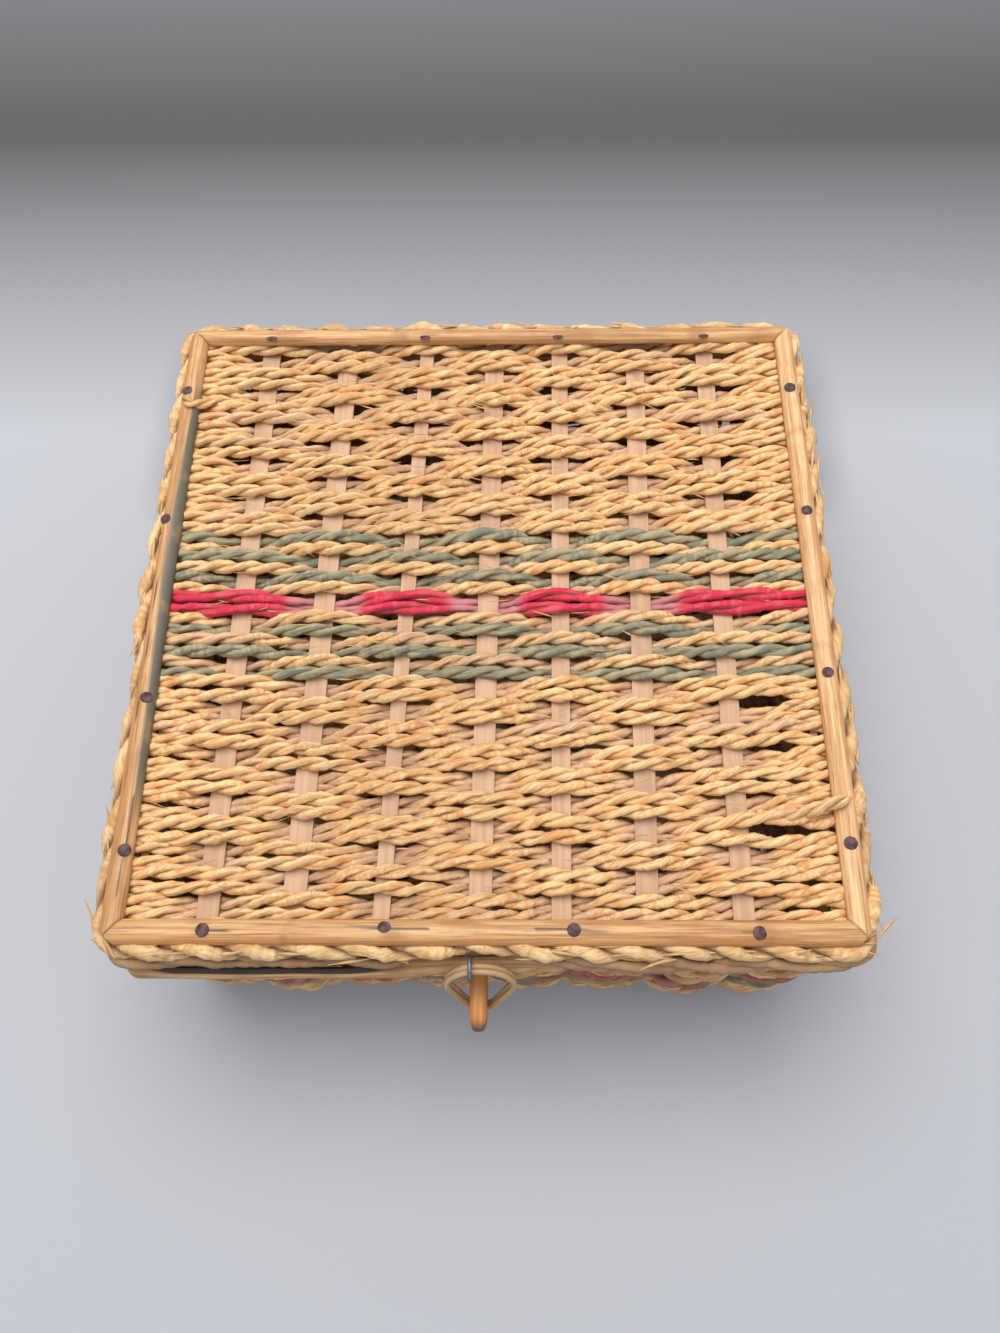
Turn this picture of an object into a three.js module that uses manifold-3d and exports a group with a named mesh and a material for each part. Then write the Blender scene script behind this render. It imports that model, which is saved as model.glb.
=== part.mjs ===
// Woven lidded box: flat splints, double grass cords woven over and under them, split-cane rails and a ring latch.
// Millimetres, +Z up, front with the latch towards -Y. The origin is the middle of the base's underside.
import * as THREE from "three";
import { mergeVertices } from "three/addons/utils/BufferGeometryUtils.js";
import Module from "manifold-3d";

const wasm = await Module();
wasm.setup();

// Driving dimensions
const gap = 0.3; // between pieces that touch
const lidWide = 235; // over the cane rails, square
const sideInset = 7; // the middle plane of a side wall stands this far inside the lid's outer edge
const endInset = 3; // and that of the front or back wall this far, for a lid that is centred on the body
const splintWide = 7;
const splintThick = 1.2;
const selvedgeWide = 2.4; // the narrow splint hidden under each side rail of the lid
const cordPitch = 8.1; // one double row
const cordThick = 2.8; // a double cord, pressed flat
const railWide = 8; // the front and back rails
const sideRailWide = 7;
const railThick = 3.6;
const underRailWide = 5;
const underRailThick = 2.6;
const braidWide = 6.4;
const braidCornerRadius = 9.6;
const rimThick = 3.5;
const innerRimThick = 3.2;
const splintBend = 3; // radius of a splint's middle line where it turns up from the base into the wall
const wallCornerRadius = 10;
const hingeRodRadius = 2.5;
const hingeWireRadius = 0.6;
const lidSplintCount = 9;
const frontStakeCount = 8;
const sideStakeCount = 9;
const latchPlace = -2.2; // the latch stands this far off the middle, to the left
const stapleWide = 5;
const stapleThick = 2.6;
const stapleReach = 15; // beyond the wall's cords
const stapleClear = 1.2; // between the ring and the staple's sides and tip as the lid lifts, both sides together
const ringThick = 2.8;
const ringWide = 22.6;
const eyeWireRadius = 0.45;
const eyeOffset = 3; // the eye holds the ring this far left of its middle

const bodyWide = lidWide - 2 * sideInset;
const bodyDeep = lidWide - 2 * endInset;

// Places of the lid's splints across the lid, as shares of half the width between the side rails
const splintFrontShares = [-0.79, -0.547, -0.296, -0.014, 0.218, 0.461, 0.734];
const splintBackShares = [-0.79, -0.508, -0.226, 0.017, 0.25, 0.521, 0.769];
const stakeSpreadShare = 0.875; // of half a wall, out to its last stake
const askewShare = 0.88; // of the lid's narrowest step between splints, left where a cord meets them askew
const wireCornerShare = 0.8; // of the hinge wire's radius, cut off where the wire bends square

// Rows of each colour, front to back on the lid and bottom to top on the wall
const lidBands = [
  ["lid_weft_front_straw", 10, "straw"],
  ["lid_weft_front_green", 3, "green"],
  ["lid_weft_red", 1, "red"],
  ["lid_weft_back_green", 3, "green"],
  ["lid_weft_back_straw", 10, "straw"],
];
const wallBands = [
  ["wall_weft_lower_straw", 2, "straw"],
  ["wall_weft_lower_green", 1, "green"],
  ["wall_weft_red", 2, "red"],
  ["wall_weft_upper_green", 1, "green"],
  ["wall_weft_upper_straw", 2, "straw"],
];

// Outline of a cord section, as shares of half its width and half its thickness
const twinCordShares = [[-1, 0], [-0.5, 1], [0, 0.4], [0.5, 1], [1, 0], [0.5, -1], [0, -0.4], [-0.5, -1]];
const wallCordShares = [[-1, 0], [-0.5, 1], [0.5, 1], [1, 0], [0.5, -1], [-0.5, -1]];
const flatShares = [[-1, 1], [1, 1], [1, -1], [-1, -1]];
const canePoleShares = [[-1, 0.5], [-0.5, 1], [0.5, 1], [1, 0.5], [1, -0.5], [0.5, -1], [-0.5, -1], [-1, -0.5]];

const finishes = {
  straw: { color: 0xcb9f66, roughness: 0.7, metalness: 0 },
  green: { color: 0x8f9876, roughness: 0.72, metalness: 0 },
  red: { color: 0xb93f52, roughness: 0.7, metalness: 0 },
  splint: { color: 0xd9b081, roughness: 0.62, metalness: 0 },
  cane: { color: 0xd6a76a, roughness: 0.42, metalness: 0 },
  braid: { color: 0xc7a56e, roughness: 0.75, metalness: 0 },
  wire: { color: 0x77797c, roughness: 0.4, metalness: 0.9 },
  staple: { color: 0xb9763a, roughness: 0.4, metalness: 0 },
};

const sum = (list) => list.reduce((total, n) => total + n, 0);
const mix = (from, to, share) => from + (to - from) * share;
const vec = (x, y, z) => new THREE.Vector3(x, y, z);
const acrossX = vec(1, 0, 0);
const acrossY = vec(0, 1, 0);
const acrossZ = vec(0, 0, 1);

const box = new THREE.Group();
box.name = "woven_lidded_box";

function addPiece(name, geometry, finish) {
  const mesh = new THREE.Mesh(geometry, new THREE.MeshStandardMaterial(finishes[finish]));
  mesh.name = name;
  box.add(mesh);
  return mesh;
}

// A closed body from rings of points, each ring as long as the first, capped at both ends unless it is a loop.
function ringsToGeometry(rings, section, isLoop) {
  const count = section.length;
  const positions = rings.flat().flatMap((p) => [p.x, p.y, p.z]);
  const faces = [];
  const steps = isLoop ? rings.length : rings.length - 1;
  for (let i = 0; i < steps; i++) {
    const here = i * count;
    const next = ((i + 1) % rings.length) * count;
    for (let j = 0; j < count; j++) {
      const k = (j + 1) % count;
      faces.push([here + j, here + k, next + k], [here + j, next + k, next + j]);
    }
  }
  if (!isLoop) {
    const flat = section.map(([u, v]) => new THREE.Vector2(u, v));
    const lids = THREE.ShapeUtils.triangulateShape(flat, []);
    const turned = THREE.ShapeUtils.area(flat) < 0;
    const last = (rings.length - 1) * count;
    for (const [a, b, c] of lids) {
      faces.push(turned ? [a, b, c] : [a, c, b]);
      faces.push(turned ? [last + a, last + c, last + b] : [last + a, last + b, last + c]);
    }
  }
  return closedGeometry(positions, faces);
}

// Turns the faces outwards, whichever way the rings ran.
function closedGeometry(positions, faces) {
  const at = (i) => vec(positions[3 * i], positions[3 * i + 1], positions[3 * i + 2]);
  const six = faces.reduce((total, [a, b, c]) => total + at(a).dot(at(b).cross(at(c))), 0);
  const outward = six < 0 ? faces.map(([a, b, c]) => [a, c, b]) : faces;
  const geometry = new THREE.BufferGeometry();
  geometry.setAttribute("position", new THREE.Float32BufferAttribute(positions, 3));
  geometry.setIndex(outward.flat());
  geometry.computeVertexNormals();
  return geometry;
}

// Carries a section along stations that each give a place, a width direction and a thickness direction.
function sweep(stations, shares, width, thick, isLoop = false) {
  const rings = stations.map(({ place, along, out }) =>
    shares.map(([u, v]) =>
      place.clone().addScaledVector(along, (u * width) / 2).addScaledVector(out, (v * thick) / 2),
    ),
  );
  return ringsToGeometry(rings, shares, isLoop);
}

const asSolid = (geometry) => {
  const bare = new THREE.BufferGeometry();
  bare.setAttribute("position", geometry.getAttribute("position"));
  bare.setIndex(geometry.getIndex());
  const merged = mergeVertices(bare);
  return new wasm.Manifold(
    new wasm.Mesh({
      numProp: 3,
      vertProperties: merged.attributes.position.array,
      triVerts: new Uint32Array(merged.index.array),
    }),
  );
};

const asGeometry = (solid) => {
  const mesh = solid.getMesh();
  const geometry = new THREE.BufferGeometry();
  geometry.setAttribute("position", new THREE.BufferAttribute(mesh.vertProperties, 3));
  geometry.setIndex(new THREE.BufferAttribute(mesh.triVerts, 1));
  geometry.computeVertexNormals();
  return geometry;
};

const cutAway = (geometry, tools) =>
  asGeometry(tools.reduce((left, tool) => left.subtract(asSolid(tool)), asSolid(geometry)));

// How far a cord stands off a splint's middle so that it clears the splint's edges on its way to the next one
const cordRise = (shortestStep) =>
  (splintThick / 2 + gap + cordThick / 2) / (1 - splintWide / shortestStep);

// Levels of the body
const strandWide = cordPitch - gap;
const spreadOut = (half, count) =>
  Array.from({ length: count }, (_, i) => half * stakeSpreadShare * mix(-1, 1, i / (count - 1)));
const stakesAcross = spreadOut(bodyWide / 2, frontStakeCount);
const stakesAlong = spreadOut(bodyDeep / 2, sideStakeCount);
const cornerRun = (half) => half * (1 - stakeSpreadShare) - wallCornerRadius; // last stake to the corner's bend
const cornerArc = (Math.PI / 2) * wallCornerRadius;
const cornerPath = cornerRun(bodyWide / 2) + cornerArc + cornerRun(bodyDeep / 2);
const bodyRise = cordRise(
  Math.min(stakesAcross[1] - stakesAcross[0], stakesAlong[1] - stakesAlong[0], cornerPath),
);
const bodyCrest = bodyRise + cordThick / 2;
const crossLevel = splintThick / 2;
const baseLevel = splintThick + gap + bodyCrest;
const wallFoot = baseLevel + splintBend;
const wallRows = sum(wallBands.map(([, rows]) => rows));
const wallTop = wallFoot + wallRows * cordPitch;
const loopInside = hingeRodRadius + gap;
const loopMiddle = loopInside + hingeWireRadius;
const loopOutside = loopMiddle + hingeWireRadius;
const rodLevel = wallTop + gap + loopOutside;
const rimTop = rodLevel + hingeRodRadius;
const rimBottom = wallTop + gap;
const stakeTop = rimTop - gap;

// Levels of the lid
const railInside = lidWide / 2 - railWide;
const lidRows = sum(lidBands.map(([, rows]) => rows));
const lidRowPitch = (2 * railInside) / lidRows;
const lidMatEnd = lidWide / 2 - underRailWide / 2 - gap;
const underRailBottom = rimTop + gap;
const underRailTop = underRailBottom + underRailThick;
const splintPlaces = (share) =>
  splintFrontShares.map((front, i) => railInside * mix(front, splintBackShares[i], share));
const selvedgeStep = (rise) => rise + cordThick / 2 + selvedgeWide / 2;
const narrowestStep = () => {
  const steps = [0, 1].flatMap((share) => {
    const row = splintPlaces(share);
    return row.slice(1).map((x, i) => x - row[i]);
  });
  return Math.min(...steps);
};
const lidRise = cordRise(narrowestStep() * askewShare);
const lidCrest = lidRise + cordThick / 2;
const selvedgePlace = lidMatEnd - selvedgeStep(lidRise);
const lidLevel = underRailTop + gap + lidCrest;
const railBottom = lidLevel + lidCrest + gap;
const hingeLine = bodyDeep / 2 + splintThick / 2 + gap + hingeRodRadius;
const lidMiddle = hingeLine - lidWide / 2 + underRailWide / 2; // the back under rail lies over the hinge rod

// The places of all nine splints at a share of the way from the lid's front to its back
function lidSplintRow(share) {
  return [-selvedgePlace, ...splintPlaces(share), selvedgePlace];
}

// A woven mat: one double cord runs over and under the splints of a row, turns round the last one and comes back.
function matBand({ firstRow, rows, rowPitch, frontEdge, level, rise, splintRow, edgeHalf, shares }) {
  const stations = [];
  const out = acrossZ;
  const place = (x, row, z) => vec(x, frontEdge + (row + 0.5) * rowPitch, level + z);
  for (let row = firstRow; row < firstRow + rows; row++) {
    const splints = splintRow(row);
    const last = splints.length - 1;
    const goesRight = row % 2 === 0;
    const order = goesRight ? splints.map((_, i) => i) : splints.map((_, i) => last - i);
    for (const i of order) {
      const over = (i + row) % 2 === 0 ? 1 : -1;
      stations.push({ place: place(splints[i], row, over * rise), along: acrossY, out });
    }
    const end = goesRight ? last : 0;
    const side = goesRight ? 1 : -1;
    const over = (end + row) % 2 === 0 ? 1 : -1;
    const turnCount = row === firstRow + rows - 1 ? 0 : 3;
    for (let i = 0; i <= turnCount; i++) {
      const turned = (Math.PI * i) / 3;
      const outward = vec(side * Math.sin(turned), 0, over * Math.cos(turned));
      const around = place(splints[end] + side * edgeHalf, row + i / 3, 0).addScaledVector(outward, rise);
      stations.push({ place: around, along: acrossY, out: outward.multiplyScalar(over) });
    }
  }
  // The thickness direction keeps one hand along the whole band, so a turn does not twist the section.
  for (let i = 1; i < stations.length; i++) {
    if (stations[i].out.dot(stations[i - 1].out) < 0) stations[i].out = stations[i].out.clone().negate();
  }
  return sweep(stations, shares, rowPitch - gap, cordThick);
}

function addLidWeft() {
  let firstRow = 0;
  for (const [name, rows, finish] of lidBands) {
    const geometry = matBand({
      firstRow,
      rows,
      rowPitch: lidRowPitch,
      frontEdge: lidMiddle - railInside,
      level: lidLevel,
      rise: lidRise,
      splintRow: (row) => lidSplintRow((row + 0.5) / lidRows),
      edgeHalf: selvedgeWide / 2,
      shares: twinCordShares,
    });
    addPiece(name, geometry, finish);
    firstRow += rows;
  }
}

function addBaseWeft() {
  const rows = Math.floor((bodyDeep - 2 * bodyCrest) / cordPitch);
  const geometry = matBand({
    firstRow: 0,
    rows,
    rowPitch: cordPitch,
    frontEdge: (-rows * cordPitch) / 2,
    level: baseLevel,
    rise: bodyRise,
    splintRow: () => stakesAcross,
    edgeHalf: splintWide / 2,
    shares: flatShares,
  });
  addPiece("base_weft", geometry, "straw");
}

function addLidSplints() {
  for (let i = 0; i < lidSplintCount; i++) {
    const width = i === 0 || i === lidSplintCount - 1 ? selvedgeWide : splintWide;
    const stations = [0, 1].map((share) => ({
      place: vec(lidSplintRow(share)[i], lidMiddle + mix(-lidMatEnd, lidMatEnd, share), lidLevel),
      along: acrossX,
      out: acrossZ,
    }));
    addPiece(`lid_splint_${i + 1}`, sweep(stations, flatShares, width, splintThick), "splint");
  }
}

// A splint that runs under the body and turns up into both walls, drawn in a plane of its own
function bentSplint(half, level, toPlace, widthDirection) {
  const stations = [];
  const bendSteps = 3;
  for (const side of [-1, 1]) {
    const turns = [];
    turns.push({ a: side * half, z: stakeTop, out: [side, 0] });
    for (let i = 0; i <= bendSteps; i++) {
      const angle = (Math.PI / 2) * (i / bendSteps);
      const out = [side * Math.cos(angle), -Math.sin(angle)];
      turns.push({
        a: side * (half - splintBend) + out[0] * splintBend,
        z: level + splintBend + out[1] * splintBend,
        out,
      });
    }
    stations.push(...(side < 0 ? turns : turns.reverse()));
  }
  return sweep(
    stations.map(({ a, z, out }) => ({
      place: toPlace(a, z),
      along: widthDirection,
      out: toPlace(out[0], out[1]).sub(toPlace(0, 0)),
    })),
    flatShares,
    splintWide,
    splintThick,
  );
}

function addBodySplints() {
  stakesAcross.forEach((x, i) => {
    const geometry = bentSplint(bodyDeep / 2, baseLevel, (a, z) => vec(x, a, z), acrossX);
    addPiece(`body_splint_long_${i + 1}`, geometry, "splint");
  });
  stakesAlong.forEach((y, i) => {
    const geometry = bentSplint(bodyWide / 2, crossLevel, (a, z) => vec(a, y, z), acrossY);
    addPiece(`body_splint_cross_${i + 1}`, geometry, "splint");
  });
}

// The four walls in the order the weft runs, from the back left corner: left, front, right, back
const walls = [
  { out: vec(-1, 0, 0), run: vec(0, -1, 0), half: bodyWide / 2, corner: bodyDeep / 2, stakes: stakesAlong },
  { out: vec(0, -1, 0), run: vec(1, 0, 0), half: bodyDeep / 2, corner: bodyWide / 2, stakes: stakesAcross },
  { out: vec(1, 0, 0), run: vec(0, 1, 0), half: bodyWide / 2, corner: bodyDeep / 2, stakes: stakesAlong },
  { out: vec(0, 1, 0), run: vec(-1, 0, 0), half: bodyDeep / 2, corner: bodyWide / 2, stakes: stakesAcross },
];
const stakeTotal = sum(walls.map((wall) => wall.stakes.length));

// Wall weft: the double cord alternates in front of and behind the stakes and climbs a row at the back left corner.
function wallBand(firstRow, rows) {
  const stations = [];
  const side = (stake, row) => ((stake + row) % 2 === 0 ? 1 : -1);
  const rowLevel = (row) => wallFoot + (row + 0.5) * cordPitch;
  const onWall = (wall, u, off, z) => ({
    place: wall.out.clone().multiplyScalar(wall.half + off).addScaledVector(wall.run, u).setZ(z),
    along: acrossZ,
    out: wall.out,
  });
  for (let row = firstRow; row < firstRow + rows; row++) {
    let stake = 0;
    walls.forEach((wall, w) => {
      wall.stakes.forEach((u) => {
        stations.push(onWall(wall, u, side(stake, row) * bodyRise, rowLevel(row)));
        stake += 1;
      });
      const climbs = w === walls.length - 1;
      if (climbs && row === firstRow + rows - 1) return;
      const next = walls[(w + 1) % walls.length];
      const before = side(stake - 1, row);
      const after = climbs ? side(0, row + 1) : -before;
      const pivot = wall.out
        .clone()
        .multiplyScalar(wall.half - wallCornerRadius)
        .addScaledVector(wall.run, wall.corner - wallCornerRadius);
      for (let i = 0; i <= 2; i++) {
        const share = (cornerRun(wall.corner) + (cornerArc * i) / 2) / cornerPath;
        const angle = (Math.PI / 2) * (i / 2);
        const out = wall.out.clone().multiplyScalar(Math.cos(angle)).addScaledVector(next.out, Math.sin(angle));
        const off = mix(before, after, share) * bodyRise;
        const z = rowLevel(row) + (climbs ? share * cordPitch : 0);
        const place = pivot.clone().addScaledVector(out, wallCornerRadius + off).setZ(z);
        stations.push({ place, along: acrossZ, out });
      }
    });
  }
  return sweep(stations, wallCordShares, strandWide, cordThick);
}

// The latch: the staple's two legs part the cords of the two top rows
const wallFace = -bodyDeep / 2 - bodyCrest;
const stapleTip = wallFace - stapleReach;
const upperLeg = wallTop - 0.5 * cordPitch;
const lowerLeg = upperLeg - cordPitch;
const stapleInner = -bodyDeep / 2 + bodyCrest + stapleThick / 2;

function staplePath() {
  const radius = (upperLeg - lowerLeg) / 2;
  const middle = (upperLeg + lowerLeg) / 2;
  const turn = stapleTip + stapleThick / 2 + radius;
  const steps = 8;
  const stations = [{ place: vec(latchPlace, stapleInner, lowerLeg), along: acrossX, out: vec(0, 0, -1) }];
  for (let i = 0; i <= steps; i++) {
    const angle = (Math.PI * i) / steps;
    const out = vec(0, -Math.sin(angle), -Math.cos(angle));
    const place = vec(latchPlace, turn, middle).addScaledVector(out, radius);
    stations.push({ place, along: acrossX, out });
  }
  stations.push({ place: vec(latchPlace, stapleInner, upperLeg), along: acrossX, out: acrossZ });
  return stations;
}

function legHole(level) {
  const hole = new THREE.BoxGeometry(stapleWide + 2 * gap, 4 * bodyCrest, stapleThick + 2 * gap);
  return hole.translate(latchPlace, -bodyDeep / 2, level);
}

function addWallWeft() {
  let firstRow = 0;
  for (const [name, rows, finish] of wallBands) {
    const band = wallBand(firstRow, rows);
    firstRow += rows;
    const holdsStaple = firstRow === wallRows;
    addPiece(name, holdsStaple ? cutAway(band, [legHole(upperLeg), legHole(lowerLeg)]) : band, finish);
  }
}

// Half-round split cane with mitred ends, flat side down, laid along the edge of a square or oblong frame
const caneSteps = 6;
const halfRoundShares = Array.from({ length: caneSteps + 1 }, (_, i) => {
  const angle = Math.PI * (1 - i / caneSteps);
  return [Math.cos(angle), Math.sin(angle)];
});

// A rail of a square frame: its ends follow the mitre with the neighbours, which are endWidth wide
function frameRail({ half, width, endWidth, side, middle, level, points }) {
  const rings = [-1, 1].map((end) =>
    points.map(([u, v]) => {
      const inward = (1 - u) / 2;
      const across = half - inward * width;
      const run = end * (half - gap - inward * endWidth);
      const spot = side.out.clone().multiplyScalar(across).addScaledVector(side.run, run);
      return spot.add(middle).setZ(level + v);
    }),
  );
  return ringsToGeometry(rings, points, false);
}

const frameSides = [
  ["front", { out: vec(0, -1, 0), run: vec(1, 0, 0) }],
  ["back", { out: vec(0, 1, 0), run: vec(-1, 0, 0) }],
  ["left", { out: vec(-1, 0, 0), run: vec(0, -1, 0) }],
  ["right", { out: vec(1, 0, 0), run: vec(0, 1, 0) }],
];

function addLidRails() {
  const middle = vec(0, lidMiddle, 0);
  const half = lidWide / 2;
  for (const [word, side] of frameSides) {
    const widths = side.out.x === 0 ? [railWide, sideRailWide] : [sideRailWide, railWide];
    const top = frameRail({
      half,
      width: widths[0],
      endWidth: widths[1],
      side,
      middle,
      level: railBottom,
      points: halfRoundShares.map(([u, v]) => [u, v * railThick]),
    });
    addPiece(`lid_rail_${word}`, top, "cane");
    const under = frameRail({
      half,
      width: underRailWide,
      endWidth: underRailWide,
      side,
      middle,
      level: underRailBottom,
      points: flatShares.map(([u, v]) => [u, ((v + 1) / 2) * underRailThick]),
    });
    addPiece(`lid_under_rail_${word}`, under, "cane");
  }
}

// A closed path round a rounded oblong, as stations whose thickness direction points outwards
function roundedLoop({ halfX, halfY, radius, middle, level, cornerSteps }) {
  const stations = [];
  for (let corner = 0; corner < 4; corner++) {
    const signX = corner === 0 || corner === 3 ? 1 : -1;
    const signY = corner < 2 ? 1 : -1;
    for (let i = 0; i <= cornerSteps; i++) {
      const angle = (Math.PI / 2) * (corner + i / cornerSteps);
      const out = vec(Math.cos(angle), Math.sin(angle), 0);
      const pivot = vec(signX * (halfX - radius), middle + signY * (halfY - radius), level);
      stations.push({ place: pivot.addScaledVector(out, radius), along: acrossZ, out });
    }
  }
  return stations;
}

// The ring's eye on the lid's edge, and the ring hanging from it
const braidTop = railBottom - gap;
const loopTop = underRailTop + gap + 2 * hingeWireRadius;
const braidBottom = loopTop + gap;
const braidLevel = (braidTop + braidBottom) / 2;
const braidMiddle = lidWide / 2 - underRailWide / 2 + braidWide / 2;
const braidFace = lidMiddle - braidMiddle - braidWide / 2;
const ringTopRadius = (ringWide - ringThick) / 2;
const eyeEdge = eyeOffset + eyeWireRadius; // the wire's far side, left of the ring's middle
const ringTopDrop = Math.sqrt(ringTopRadius ** 2 - eyeEdge ** 2);
const ringDip = ringTopRadius - ringTopDrop;
const eyeInside = (ringThick / 2) * (ringTopRadius / ringTopDrop) + ringDip + gap;
const eyeSides = 16;
const eyeMiddle = (eyeInside + eyeWireRadius) / Math.cos(Math.PI / eyeSides);
const ringPivot = { y: braidFace - ringThick / 2 - 2 * gap, z: braidLevel - eyeMiddle / 2 };
const apexInside = {
  y: stapleTip - stapleClear,
  z: lowerLeg - stapleThick / 2 - stapleClear / 2,
};
const ringLean = Math.atan2(ringPivot.y - apexInside.y, ringPivot.z - apexInside.z);
const ringInside = Math.hypot(ringPivot.y - apexInside.y, ringPivot.z - apexInside.z);

function addBraid() {
  const loop = roundedLoop({
    halfX: braidMiddle,
    halfY: braidMiddle,
    radius: braidCornerRadius,
    middle: lidMiddle,
    level: braidLevel,
    cornerSteps: 4,
  });
  const geometry = sweep(loop, canePoleShares, braidTop - braidBottom, braidWide, true);
  const groove = eyeLoop(eyeWireRadius + gap);
  addPiece("lid_edge_braid", cutAway(geometry, [groove]), "braid");
}

// A loop of wire round the ring's top
function eyeLoop(wireRadius) {
  const eye = new THREE.TorusGeometry(eyeMiddle, wireRadius, 6, eyeSides);
  return eye.rotateY(Math.PI / 2).translate(latchPlace - eyeOffset, ringPivot.y, ringPivot.z);
}

function addLatchRing() {
  const ringHalf = ringThick / 2;
  const footRadius = stapleWide / 2 + stapleClear / 2 + ringHalf;
  const length = ringInside + ringHalf;
  const between = length - ringTopRadius - footRadius;
  const slant = Math.asin((ringTopRadius - footRadius) / between);
  const stations = [];
  const arc = (radius, drop, from, to, steps) => {
    for (let i = 0; i <= steps; i++) {
      const angle = mix(from, to, i / steps);
      const out = vec(Math.sin(angle), 0, Math.cos(angle));
      stations.push({ place: vec(0, 0, -drop).addScaledVector(out, radius), along: acrossY, out });
    }
  };
  arc(ringTopRadius, ringTopRadius, -Math.PI / 2 - slant, Math.PI / 2 + slant, 14);
  arc(footRadius, length - footRadius, Math.PI / 2 + slant, (3 * Math.PI) / 2 - slant, 8);
  const ring = addPiece("latch_ring", sweep(stations, canePoleShares, ringThick, ringThick, true), "cane");
  ring.rotation.x = -ringLean;
  ring.position.set(latchPlace, ringPivot.y, ringPivot.z);
}

function addBodyRims() {
  const stakeFace = splintThick / 2 + gap;
  const rimHigh = rimTop - rimBottom;
  const outerX = bodyWide / 2 + stakeFace + rimThick;
  const outerY = bodyDeep / 2 + stakeFace + rimThick;
  const stripShares = halfRoundShares.map(([u, v]) => [v, -u]);
  for (const [word, { out, run }] of frameSides) {
    if (word === "back") continue;
    const isFront = word === "front";
    const face = (isFront ? bodyDeep : bodyWide) / 2 + stakeFace;
    const frontMitre = isFront ? outerX : outerY;
    const rings = [-1, 1].map((end) =>
      stripShares.map(([u, v]) => {
        const mitred = isFront || end * run.y < 0;
        const reach = mitred ? frontMitre - rimThick * (1 - u) - gap / 2 : bodyDeep / 2 + stakeFace;
        const spot = out.clone().multiplyScalar(face + u * rimThick).addScaledVector(run, end * reach);
        return spot.setZ((rimTop + rimBottom) / 2 + (v * rimHigh) / 2);
      }),
    );
    addPiece(`rim_rail_${word}`, ringsToGeometry(rings, stripShares, false), "cane");
  }
  const rodLength = bodyWide + 2 * stakeFace - 2 * gap;
  const rod = new THREE.CylinderGeometry(hingeRodRadius, hingeRodRadius, rodLength, 16);
  const back = addPiece("rim_rod_back", rod, "cane");
  back.rotation.z = Math.PI / 2;
  back.position.set(0, hingeLine, rodLevel);
  const inner = roundedLoop({
    halfX: bodyWide / 2 - stakeFace - innerRimThick / 2,
    halfY: bodyDeep / 2 - stakeFace - innerRimThick / 2,
    radius: wallCornerRadius,
    middle: 0,
    level: (rimTop + rimBottom) / 2,
    cornerSteps: 4,
  });
  addPiece("rim_inner", sweep(inner, flatShares, rimHigh, innerRimThick, true), "cane");
}

// A wire loop that holds the lid's back under rail to the body's back rod and turns round the rod
function hingeLoop() {
  const stations = [];
  const steps = 8;
  const upper = loopTop - hingeWireRadius;
  const flat = hingeWireRadius * wireCornerShare;
  for (let i = 0; i <= steps; i++) {
    const angle = (Math.PI * i) / steps;
    const out = vec(0, Math.cos(angle), -Math.sin(angle));
    stations.push({ place: vec(0, 0, rodLevel).addScaledVector(out, loopMiddle), along: acrossX, out });
  }
  const corners = [[-1, 0], [-1, 1], [1, 1], [1, 0]];
  for (const [sideY, isTop] of corners) {
    const y = isTop ? sideY * (loopMiddle - flat) : sideY * loopMiddle;
    const z = isTop ? upper : upper - flat;
    stations.push({ place: vec(0, y, z), along: acrossX, out: vec(0, sideY, 1).normalize() });
  }
  const wireThick = 2 * hingeWireRadius;
  return sweep(stations, canePoleShares, wireThick, wireThick, true);
}

function addHingeLoops() {
  const middleOfStakes = (stakesAcross[1] + stakesAcross[2]) / 2;
  [["left", middleOfStakes], ["right", -middleOfStakes]].forEach(([word, x]) => {
    const loop = addPiece(`hinge_loop_${word}`, hingeLoop(), "wire");
    loop.position.set(x, hingeLine, 0);
  });
}

addLidSplints();
addLidWeft();
addLidRails();
addBraid();
addPiece("latch_wire", eyeLoop(eyeWireRadius), "wire");
addHingeLoops();
addLatchRing();
addBodySplints();
addBaseWeft();
addWallWeft();
addBodyRims();
addPiece("latch_staple", sweep(staplePath(), canePoleShares, stapleWide, stapleThick), "staple");

export default box;
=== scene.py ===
import math

import bpy
import numpy as np
from mathutils import Matrix, Vector


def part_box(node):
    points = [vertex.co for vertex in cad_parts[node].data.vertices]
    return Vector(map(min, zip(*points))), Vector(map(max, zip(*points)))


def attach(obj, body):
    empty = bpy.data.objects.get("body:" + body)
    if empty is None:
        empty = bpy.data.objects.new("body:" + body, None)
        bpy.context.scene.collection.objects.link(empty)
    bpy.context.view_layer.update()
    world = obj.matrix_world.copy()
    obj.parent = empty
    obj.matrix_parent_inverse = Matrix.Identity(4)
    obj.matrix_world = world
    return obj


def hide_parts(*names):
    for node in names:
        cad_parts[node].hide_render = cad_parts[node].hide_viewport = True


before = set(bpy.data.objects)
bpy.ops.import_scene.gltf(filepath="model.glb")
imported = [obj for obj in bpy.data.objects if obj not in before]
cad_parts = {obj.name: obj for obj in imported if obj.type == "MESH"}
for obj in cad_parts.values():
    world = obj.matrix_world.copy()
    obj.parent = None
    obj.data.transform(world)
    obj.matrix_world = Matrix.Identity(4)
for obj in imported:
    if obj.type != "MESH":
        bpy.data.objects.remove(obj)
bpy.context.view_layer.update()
mm = 0.001
turn = 2 * math.pi
rng = np.random.default_rng(41)


# Helpers that build node trees, for shaders and for geometry alike.


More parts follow.
